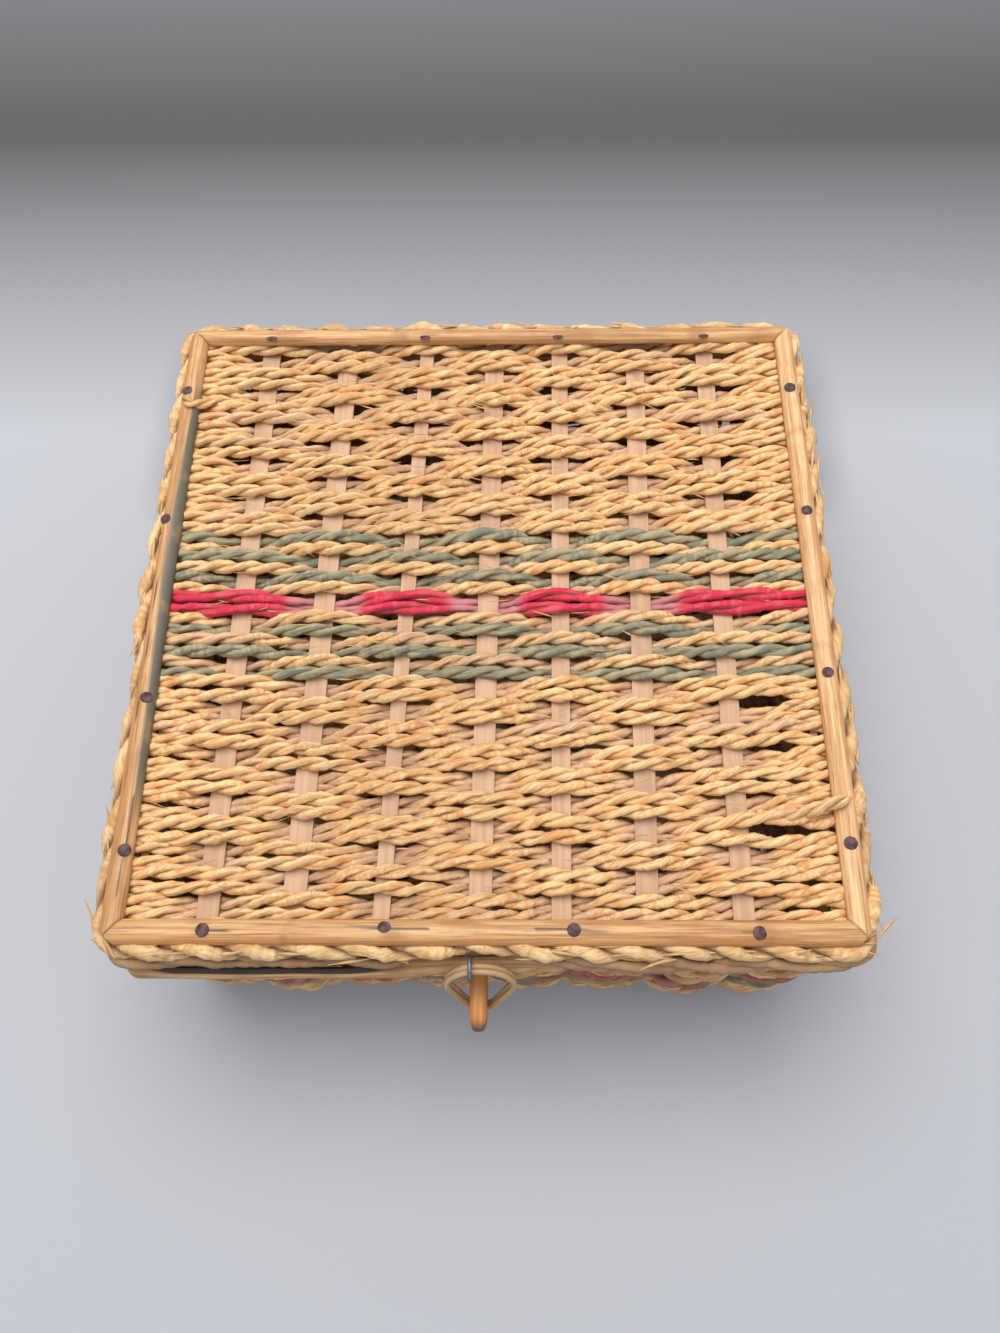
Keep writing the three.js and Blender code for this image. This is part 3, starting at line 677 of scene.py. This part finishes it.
# The lid's splints are of uneven widths.
splintWides = [1.0, 0.97, 1.04, 0.75, 1.03, 0.88, 1.0, 0.94, 1.0]


def addSplint(node, line, wide):
    front, back, low, high = line
    points = cadPoints(node)
    middle = front + (back - front) * (points[:, 1] - low) / (high - low)
    points[:, 0] = middle + (points[:, 0] - middle) * wide
    mesh = bpy.data.meshes.new("strip_" + node)
    mesh.from_pydata(points * mm, [], [list(face.vertices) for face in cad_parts[node].data.polygons])
    mesh.materials.append(splintAlongY)
    newObject(mesh.name, mesh, "lid", [node])


for number, line in enumerate(lidSplints):
    addSplint(f"lid_splint_{number + 1}", line, splintWides[number])

# Lofted pieces: rings of points with fields for the material.


def woodFields(along, across, up, crack=0.0, joint=0.0, darkening=0.0):
    return dict(along=along * mm, across=across * mm, up=up * mm, crack=crack, joint=joint, darkening=darkening)


def addLoft(name, rings, fields, material, body, replaced, closed=False):
    count, around = rings.shape[:2]
    mesh = bpy.data.meshes.new(name)

    def corner(i, j):
        return (i % count) * around + j % around

    faces = [(corner(i, j), corner(i, j + 1), corner(i + 1, j + 1), corner(i + 1, j))
             for i in range(count if closed else count - 1) for j in range(around)]
    if not closed:
        faces += [tuple(reversed(range(around))), tuple(range((count - 1) * around, count * around))]
    mesh.from_pydata(rings.reshape(-1, 3) * mm, [], faces)
    for field, values in fields.items():
        values = np.broadcast_to(values, rings.shape[:2]).reshape(-1).astype(np.float32)
        mesh.attributes.new(field, "FLOAT", "POINT").data.foreach_set("value", values)
    mesh.shade_smooth()
    mesh.materials.append(material)
    newObject(name, mesh, body, [replaced])


rail = dict(
    thick=3.6, half=117.5, step=1.0, cornerCut=4.6, mitreGap=0.15, jointReach=1.3,
    wides=dict(front=8.0, right=7.0, back=6.4, left=7.0),
)
railBase, railTop = frontRail[0][2], frontRail[1][2]
halfRound = np.array([(math.cos(a), abs(math.sin(a)) ** 0.8) for a in np.linspace(math.pi, 0, 19)])
halfRound = np.concatenate([halfRound, np.stack([np.linspace(1, -1, 11)[1:-1], np.zeros(9)], 1)])
nails = {
    "front": [(202, 930), (384, 928), (574, 930), (760, 933)], "back": [(271, 342), (425, 338), (558, 337), (704, 337)],
    "left": [(187, 390), (165, 518), (146, 697), (124, 850)], "right": [(790, 387), (807, 510), (828, 672), (851, 843)],
}
sides = {"front": (0, -1), "right": (1, 0), "back": (0, 1), "left": (-1, 0)}


# The photograph's camera, found by fitting the lid's corners: millimetres, degrees and pixels.
view = dict(
    eye=(9.5, -153.8, 405.5), down=67.17, turned=2.17, roll=-2.06, middle=(500, 666.5), focal=1000.0,
    lens=27.0, sensor=36,
)


def viewAxes():
    down, turned, roll = (math.radians(view[word]) for word in ("down", "turned", "roll"))
    forward = Vector((0, math.cos(down), -math.sin(down)))
    upward = Vector((0, math.sin(down), math.cos(down)))
    side = Vector((1, 0, 0))
    about = Matrix.Rotation(turned, 3, "Z")
    forward, upward, side = about @ forward, about @ upward, about @ side
    return forward, side * math.cos(roll) + upward * math.sin(roll), upward * math.cos(roll) - side * math.sin(roll)


def photoSpot(pixel, level):
    forward, side, upward = viewAxes()
    right = (pixel[0] - view["middle"][0]) / view["focal"]
    rise = (view["middle"][1] - pixel[1]) / view["focal"]
    ray = forward + side * right + upward * rise
    eye = Vector(view["eye"])
    return eye + ray * ((level - eye.z) / ray.z)


def addRail(word, cracks, joints):
    outX, outY = sides[word]
    out = np.array([outX, outY, 0.0])
    run = np.array([-outY, outX, 0.0])
    half = rail["half"]
    wide = rail["wides"][word]
    order = list(sides)
    corner = order.index(word)
    count = int(2 * half / rail["step"]) + 1
    share = np.linspace(-1, 1, count)
    bow = drift(count, 40, 0.1)
    swell = 1 + drift(count, 30, 0.02)
    across = halfRound[:, 0] * wide / 2
    inward = wide / 2 - across

    def mitre(end):
        return half - np.maximum(inward * rail["wides"][end] / wide, rail["cornerCut"] - inward) - rail["mitreGap"]

    spots = np.maximum(share, 0)[:, None] * mitre(order[(corner + 1) % 4])
    spots = spots + np.minimum(share, 0)[:, None] * mitre(order[corner - 1])
    side = across[None, :] * np.minimum(swell, 1.0)[:, None]
    knot = np.zeros((count, 1))
    for place in joints:
        knot = np.maximum(knot, np.exp(-((share[:, None] * half - place) / rail["jointReach"]) ** 2))
    tall = np.clip(0.97 * swell[:, None] + bow[:, None] * 0.03 + 0.05 * knot, 0, 1.04)
    up = halfRound[None, :, 1] * rail["thick"] * tall
    centre = half - wide / 2
    middle = np.array([0.0, lidMiddle, 0.0])
    points = middle + out * (centre + side[..., None]) + run * spots[..., None]
    points[..., 2] = railBase + up
    crack = np.zeros(spots.shape)
    for place, offset, length, width in cracks:
        wander = offset + 0.25 * np.sin((spots - place) / 7.0)
        taper = np.clip(1 - np.abs(spots - place) / length, 0, 1) ** 0.5
        gape = np.clip(1.6 - np.abs(side - wander) / (width * np.maximum(taper, 0.01)), 0, 1)
        crack = np.maximum(crack, gape * (taper > 0.02))
    grainStart = half * 3 * (outX + 2 * outY + 4)
    darkening = leftEdgeDarkening(spots, side) if word == "left" else 0.0
    fields = woodFields(spots + grainStart, side, up, crack, knot * (halfRound[None, :, 1] > 0.3), darkening)
    wood = paleCane if word == "right" else caneWood
    addLoft("cane_rail_" + word, points, fields, wood, "lid", "lid_rail_" + word)


def nailSpots(word):
    outX, outY = sides[word]
    found = []
    for pixel in nails[word]:
        spot = photoSpot(pixel, railTop)
        found.append((spot.x * -outY + (spot.y - lidMiddle) * outX, spot.x * outX + (spot.y - lidMiddle) * outY))
    return found


# The left rail is dark along its inner edge: how far out, how sharp and how strong, and where it fades.
leftEdgeDark = dict(border=-1.9, wider=[(-15, 45, 1.4)], blur=0.7, strength=1.25, middle=-8, fade=(-95, -60))


def leftEdgeDarkening(along, side):
    border = humps(along, leftEdgeDark["wider"]) + leftEdgeDark["border"]
    edge = np.clip(0.5 + (border - side) / leftEdgeDark["blur"], 0, 1)
    return leftEdgeDark["strength"] * edge * smooth(-np.abs(along - leftEdgeDark["middle"]), *leftEdgeDark["fade"])


# Cracks at nails, with the nail's number, a length and a width, one other crack, and the cane's joints.
nailCracks = {"front": [(0, 9, 0.22), (1, 14, 0.42), (2, 12, 0.38), (3, 6, 0.25)], "left": [(3, 18, 0.25)]}
caneJoints = {"front": [-62.0, 88.0], "right": [-20.0, 70.0], "back": [35.0], "left": [-48.0, 60.0]}
leftCrack = (20.0, 1.2, 40, 0.2)
for word in sides:
    spots = nailSpots(word)
    centre = rail["half"] - rail["wides"][word] / 2
    cracks = [(spots[i][0], spots[i][1] - centre, length, width) for i, length, width in nailCracks.get(word, [])]
    addRail(word, cracks + [leftCrack] * (word == "left"), caneJoints[word])
print("rails laid")

# The front rim's cane carries a near-black colour for the painted shadow in the slot where the rim bows away from the
# wall.
rimWoodPaintedShadow = woodMaterial("rim cane", dict(caneLook, rim=(190, 124, 66), darkeningColour=(44, 31, 24)))
frontRim = dict(
    half=115.4, round=5.5, back=-115.4, low=72.0, high=78.0, left=7.1, right=3.6, thins=(-30, 5),
    bow=3.6, bowStart=(-112, -96), bowEnd=(-45, -22), shadeFrom=0.72, shadeBlur=0.3, grainStart=900,
)


def addFrontRim():
    half, turnIn = frontRim["half"], frontRim["round"]
    ends = half - turnIn * (1 - np.cos(np.linspace(0, math.pi / 2, 12)))
    x = np.concatenate([-ends, np.arange(1 - ends[-1], ends[-1], 1.0), ends[::-1]])
    inset = np.clip(np.abs(x) - half + turnIn, 0, turnIn) / turnIn
    reach = frontRim["left"] + (frontRim["right"] - frontRim["left"]) * smooth(x, *frontRim["thins"])
    reach = reach * np.sqrt(np.clip(1 - inset ** 2, 0.01, 1)) + drift(len(x), 30, 0.15)
    bow = frontRim["bow"] * smooth(x, *frontRim["bowStart"]) * (1 - smooth(x, *frontRim["bowEnd"]))
    middle, tall = (frontRim["low"] + frontRim["high"]) / 2, frontRim["high"] - frontRim["low"]
    points = np.zeros((len(x), len(halfRound), 3))
    points[..., 0] = x[:, None]
    points[..., 1] = frontRim["back"] - bow[:, None] - halfRound[None, :, 1] * (reach - bow)[:, None]
    points[..., 2] = middle - halfRound[None, :, 0] * tall / 2
    # Painted shadow: a dark strip along the rim's inner top edge, as deep as the bow.
    shaded = smooth(frontRim["shadeFrom"] - halfRound[:, 1], 0.0, frontRim["shadeBlur"]) * (halfRound[:, 0] < 0)
    fields = woodFields(points[..., 0] + frontRim["grainStart"], halfRound[None, :, 0] * 3.2,
                        halfRound[None, :, 1] * 6, darkening=bow[:, None] * shaded[None, :])
    addLoft("cane_rim_front", points, fields, rimWoodPaintedShadow, "basket", "rim_rail_front")


addFrontRim()

# The latch: two turns of cane as the ring, a bent cane staple and the wire eye.


ring = dict(
    x=-1.4, pivotY=-120.5, pivotZ=87.995, lean=16.5, length=30.4, top=10.5, foot=4.5, strand=0.98,
    apart=0.86, wander=0.16, points=120, sides=12,
)


def ringOutline():
    top, foot = ring["top"], ring["foot"]
    slant = math.asin((top - foot) / (ring["length"] - foot - top))
    spots = []
    for radius, place, first, last in ((top, top, -math.pi / 2 - slant, math.pi / 2 + slant),
                                       (foot, ring["length"] - foot, math.pi / 2 + slant, 1.5 * math.pi - slant)):
        for angle in np.linspace(first, last, 30):
            spots.append((radius * math.sin(angle), place - radius * math.cos(angle)))
    spots = np.array(spots + spots[:1])
    run = runOf(spots)
    spots = pointsAt(np.linspace(0, run[-1], ring["points"] + 1)[:-1], run, spots)
    lean = math.radians(ring["lean"])
    across = np.array([1.0, 0, 0])
    down = np.array([0, -math.sin(lean), -math.cos(lean)])
    pivot = np.array([ring["x"], ring["pivotY"], ring["pivotZ"]])
    return pivot + spots[:, :1] * across + spots[:, 1:] * down, np.cross(across, down)


ringWood = woodMaterial("latch cane", dict(caneLook, light=(196, 164, 124), mid=(178, 142, 100), dark=(128, 92, 60),
                                           stain=(158, 118, 78), streak=0.6))
stapleWood = woodMaterial("staple cane", dict(caneLook, light=(206, 142, 74), mid=(186, 116, 54), dark=(140, 78, 34),
                                              stain=(150, 84, 38), streak=0.5, darkeningColour=(62, 48, 42)))


def addRing():
    outline, normal = ringOutline()
    tangent = np.roll(outline, -1, axis=0) - np.roll(outline, 1, axis=0)
    tangent /= np.linalg.norm(tangent, axis=1)[:, None]
    inner = np.cross(np.broadcast_to(normal, tangent.shape), tangent)
    angles = circle(ring["sides"])
    outward = inner[:, None] * np.cos(angles)[None, :, None] + normal[None, None] * np.sin(angles)[None, :, None]
    fields = woodFields(runOf(outline)[:, None], np.cos(angles)[None], np.sin(angles)[None])
    for number, side in enumerate((-1, 1)):
        wander = ring["wander"] * np.sin(2 * circle(len(outline)) + side)
        centre = outline + normal * (side * ring["strand"] * ring["apart"]) + inner * wander[:, None]
        rings = centre[:, None] + ring["strand"] * outward
        name = f"latch_ring_turn_{number + 1}"
        addLoft(name, rings, fields, ringWood, "latch_ring", "latch_ring", closed=True)


addRing()


def addStaple():
    radius = (staple["upper"] - staple["lower"]) / 2
    bend = staple["tip"] + staple["thick"] / 2 + radius
    middle = (staple["upper"] + staple["lower"]) / 2
    path = [(y, staple["lower"], 0, -1) for y in np.linspace(staple["inner"], bend, 14)[:-1]]
    for angle in np.linspace(0, math.pi, 17):
        path.append((bend - radius * math.sin(angle), middle - radius * math.cos(angle),
                     -math.sin(angle), -math.cos(angle)))
    path += [(y, staple["upper"], 0, 1) for y in np.linspace(bend, staple["inner"], 14)[1:]]
    path = np.array(path)
    angles = circle(20)
    broad = np.sign(np.cos(angles)) * np.abs(np.cos(angles)) ** 0.75 * staple["wide"] / 2
    deep = np.sign(np.sin(angles)) * np.abs(np.sin(angles)) ** 0.85 * staple["thick"] / 2
    ahead = staple["tip"] - path[:, 0]
    narrow = 1 - staple["narrowing"] * smooth(ahead, -staple["narrowFrom"], -staple["narrowTo"])
    rings = np.zeros((len(path), len(angles), 3))
    rings[..., 0] = staple["x"] + broad[None, :] * narrow[:, None]
    rings[..., 1] = path[:, 0:1] + deep[None, :] * path[:, 2:3]
    rings[..., 2] = path[:, 1:2] + deep[None, :] * path[:, 3:4]
    # Painted shade: the staple darkens towards its tip, where the bend turns down and away.
    dark = staple["darkness"] * smooth(ahead, -staple["darkFrom"], -staple["darkTo"])
    fields = woodFields(runOf(path[:, :2])[:, None], broad[None, :], deep[None, :], darkening=dark[:, None])
    addLoft("latch_staple_bent", rings, fields, stapleWood, "basket", "latch_staple")


addStaple()
print("latch hung")

# Nails, set where the photograph shows their heads, on the rails' crowns.


def ironMaterial(name, light, dark, rough):
    material, graph = newMaterial(name)
    spot = graph.node("ShaderNodeTexCoord").out("Object") * (1 / mm)
    rust = graph.noise(spot, 0.5, 2.0)
    colour = graph.mix(rust.ramp(0.4, 0.62), srgb(light), srgb(dark))
    finishMaterial(graph, colour, rough, rust, 0.3, 0.15 * mm, 0.6)
    return material


nailIron = ironMaterial("nail iron", light=(104, 80, 80), dark=(66, 48, 46), rough=0.7)
wireSteel = ironMaterial("wire steel", light=(112, 116, 124), dark=(74, 76, 82), rough=0.45)
repaint(["hinge_loop_left", "hinge_loop_right"], wireSteel)
wireEye = dict(x=-4.3, radius=3.25, thick=1.4, points=40, sides=10)


def addWire():
    angles = circle(wireEye["points"])
    outward = np.stack([0 * angles, np.cos(angles), np.sin(angles)], 1)
    around = circle(wireEye["sides"])
    half = wireEye["thick"] / 2
    rings = (wireEye["radius"] + half * np.cos(around))[None, :, None] * outward[:, None]
    rings = rings + half * np.sin(around)[None, :, None] * np.array([1.0, 0, 0])
    rings = rings + np.array([wireEye["x"], ring["pivotY"], ring["pivotZ"]])
    addLoft("wire_eye", rings, {}, wireSteel, "lid", "latch_wire", closed=True)


addWire()


def nailTree():
    tree, graph, given = newGeometryTree("nail heads", {"Radius": "Float", "Height": "Float", "Material": "Material"})
    head = graph.node("GeometryNodeMeshUVSphere", {"Segments": 20, "Rings": 10, "Radius": given.out("Radius")})
    flatten = graph.vector(1.0, 1.0, given.out("Height") / given.out("Radius"))
    size = graph.node("FunctionNodeRandomValue", {"Min": 0.93, "Max": 1.07, "Seed": 3}, data_type="FLOAT")
    placed = graph.node("GeometryNodeInstanceOnPoints", {
        "Points": graph.node("GeometryNodeMeshToPoints", {"Mesh": given.out("Geometry")}),
        "Instance": graph.node("GeometryNodeSetShadeSmooth", {"Geometry": head}),
        "Rotation": graph.node("FunctionNodeEulerToRotation", {"Euler": read(graph, "tilt", "FLOAT_VECTOR")}),
        "Scale": flatten * size,
    })
    endTree(graph, placed, given.out("Material"))
    return tree


nail = dict(radius=2.0, height=0.32, widest=0.29, lean=0.18)


def addNails():
    spots = []
    tilts = []
    for word, (outX, outY) in sides.items():
        wide = rail["wides"][word]
        for along, out in nailSpots(word):
            middle = rail["half"] - wide / 2
            off = float(np.clip(out - middle, -nail["widest"] * wide, nail["widest"] * wide))
            out = middle + off
            level = railBase + rail["thick"] * max(0.0, 1 - (off / (wide / 2)) ** 2) ** 0.4
            spots.append((along * -outY + out * outX, lidMiddle + along * outX + out * outY, level))
            lean = nail["lean"] * off
            tilts.append((-outY * -lean, outX * lean, 0.0))
    mesh = bpy.data.meshes.new("nail_heads")
    mesh.from_pydata(np.array(spots) * mm, [], [])
    mesh.attributes.new("tilt", "FLOAT_VECTOR", "POINT").data.foreach_set("vector", np.array(tilts).reshape(-1))
    made = runNodes(mesh, nailTree(), {
        "Radius": nail["radius"] * mm, "Height": nail["height"] * mm, "Material": nailIron,
    })
    newObject("nail_heads", made, "lid")


addNails()
print("nails driven")


# Loose fibres: short slivers that stand off the plait and the mat, and two frayed cord ends.


def fibrePath(start, heading, length, wide, curl):
    share = np.linspace(0, 1, 7)
    bend = rng.normal(0, curl, 3) * length
    points = start + share[:, None] * heading * length + (share ** 2)[:, None] * bend
    return dict(points=points, phase=0.0, thick=wide * (0.25 + 0.75 * np.sin(math.pi * share ** 0.8)),
                tone=rng.uniform(0, 0.7), dye=0.0, low=max(0.0, rng.uniform(-0.6, 0.4)))


def unit(vector):
    return vector / np.linalg.norm(vector)


def edgeFibres(count):
    spots, normals, _ = loopTrack(edging["half"], edging["half"], edging["radius"], lidMiddle, 1.0)
    paths = []
    for index in rng.integers(0, len(spots) - 1, count):
        if spots[index][1] < -100 and abs(spots[index][0] - staple["x"]) < 17:
            continue
        out = np.append(normals[index], 0.0)
        along = np.array([-out[1], out[0], 0.0]) * rng.choice([-1, 1], p=[0.25, 0.75])
        angle = rng.uniform(-0.6, 2.2)
        lift = out * math.cos(angle) + np.array([0, 0, 1.0]) * math.sin(angle)
        start = np.append(spots[index], edging["level"]) + lift * rng.uniform(2.0, 2.9)
        heading = unit(along + lift * rng.uniform(-0.12, 0.2))
        paths.append(fibrePath(start, heading, rng.uniform(4, 12), rng.uniform(0.3, 0.65), 0.08))
    return paths


def matFibres(count):
    paths = []
    for _ in range(count):
        start = np.array([rng.uniform(-104, 104), lidMiddle + rng.uniform(-104, 104), rng.uniform(91.8, 93.6)])
        heading = unit(np.array([rng.choice([-1, 1]), rng.uniform(-0.45, 0.45), rng.uniform(-0.05, 0.25)]))
        paths.append(fibrePath(start, heading, rng.uniform(3, 9), rng.uniform(0.14, 0.3), 0.1))
    return paths


fibre = dict(step=1.2, plies=1, offset=0.0, ply=1.0, sides=4, uneven=0.3)
addCords("fibres_lid_edge", edgeFibres(count=260), fibre, loose, "lid", [])
addCords("fibres_lid_mat", matFibres(count=320), fibre, loose, "lid", [])


def cordEnd(pixels, levels, thick):
    spots = np.array([list(photoSpot(pixel, level)) for pixel, level in zip(pixels, levels)])
    run = runOf(spots)
    even = np.arange(0, run[-1], 1.0)
    path = cordPath(pointsAt(even, run, spots), endLook["lay"], 0)
    path["thick"] = thick * (1 - 0.5 * smooth(even, run[-1] - 3, run[-1]))
    return path


endLook = dict(step=1.0, lay=15.0, offset=1.0, ply=1.25, sides=8, uneven=0.25)
rightEnd = [(757, 816), (778, 817), (797, 814), (815, 809), (832, 804), (851, 798)]
leftEnd = [(222, 402), (204, 404), (190, 404), (182, 398)]
looseEnds = [
    cordEnd(rightEnd, (88.6, 91.2, 94.2, 96.0, 98.3, 98.6), 1.0),
    cordEnd(leftEnd, (91.5, 95.0, 98.0, 98.4), 0.8),
]
addCords("cord_ends", looseEnds, endLook, strawy, "lid", [])
print("fibres laid")


# The camera, the floor and the light.


def placeCamera():
    data = bpy.data.cameras.new("camera")
    data.lens = view["lens"]
    data.sensor_width = view["sensor"]
    forward, side, upward = viewAxes()
    stand = Matrix((side, upward, -forward)).transposed().to_4x4()
    stand.translation = [part * mm for part in view["eye"]]
    camera = linked("camera", data)
    camera.matrix_world = stand
    bpy.context.scene.camera = camera


placeCamera()


def addFloor(reach, colour, far):
    mesh = bpy.data.meshes.new("floor")
    corners = [(x * reach, y * reach, 0) for x, y in ((-1, -1), (1, -1), (1, 1), (-1, 1))]
    mesh.from_pydata(corners, [], [(0, 1, 2, 3)])
    material, graph = newMaterial("floor")
    spot = graph.node("ShaderNodeSeparateXYZ", (graph.node("ShaderNodeTexCoord").out("Object"),))
    back = spot.out("Y")
    # The floor is darker in a painted shade band behind the box, and a painted shadow lies behind and beneath the box
    # where the lit floor would glare through the weave.
    shade = graph.mix(back.ramp(0.14, 0.34) * back.ramp(0.95, 0.36), colour, far)
    beside = spot.out("X").op("ABSOLUTE")
    behind = back.ramp(0.085, 0.115) * back.ramp(0.205, 0.165) * beside.ramp(0.17, 0.14)
    below = back.ramp(-0.112, -0.1) * back.ramp(0.132, 0.121) * beside.ramp(0.129, 0.118)
    shade = graph.mix(graph.maths("MAXIMUM", behind, below) * 0.7, shade, far)
    surface = graph.node("ShaderNodeBsdfPrincipled", {"Base Color": shade, "Roughness": 0.9})
    graph.node("ShaderNodeOutputMaterial", {"Surface": surface})
    mesh.materials.append(material)
    floor = linked("floor", mesh)


addFloor(reach=4.0, colour=srgb((180, 182, 188)), far=srgb((83, 83, 84)))


def addAreaLight(name, place, aim, size, power, colour):
    data = bpy.data.lights.new(name, "AREA")
    data.shape = "DISK"
    data.size = size
    data.energy = power
    data.color = colour
    light = linked(name, data)
    light.location = place
    light.rotation_euler = (Vector(aim) - Vector(place)).to_track_quat("-Z", "Y").to_euler()


addAreaLight("key", place=(-0.1, 0.27, 1.15), aim=(0, 0, 0.05), size=0.95, power=12.0, colour=(1.0, 0.97, 0.93))


def setWorld(strength, colour):
    world = bpy.data.worlds.new("sky")
    world.use_nodes = True
    bpy.context.scene.world = world
    graph = Graph(world.node_tree)
    rays = graph.node("ShaderNodeLightPath")
    seen = graph.maths("MAXIMUM", graph.maths("MAXIMUM", rays.out("Is Camera Ray"), rays.out("Is Glossy Ray")),
                       rays.out("Is Transmission Ray"))
    tint = graph.mix(seen, colour, (0.95, 0.96, 0.98, 1))
    shown = graph.node("ShaderNodeBackground", {"Color": tint, "Strength": seen.ramp(0, 1, strength, 1.0)})
    graph.node("ShaderNodeOutputWorld", {"Surface": shown})


setWorld(strength=0.71, colour=(0.92, 0.95, 1.0, 1))
bpy.context.scene.view_settings.view_transform = "Standard"
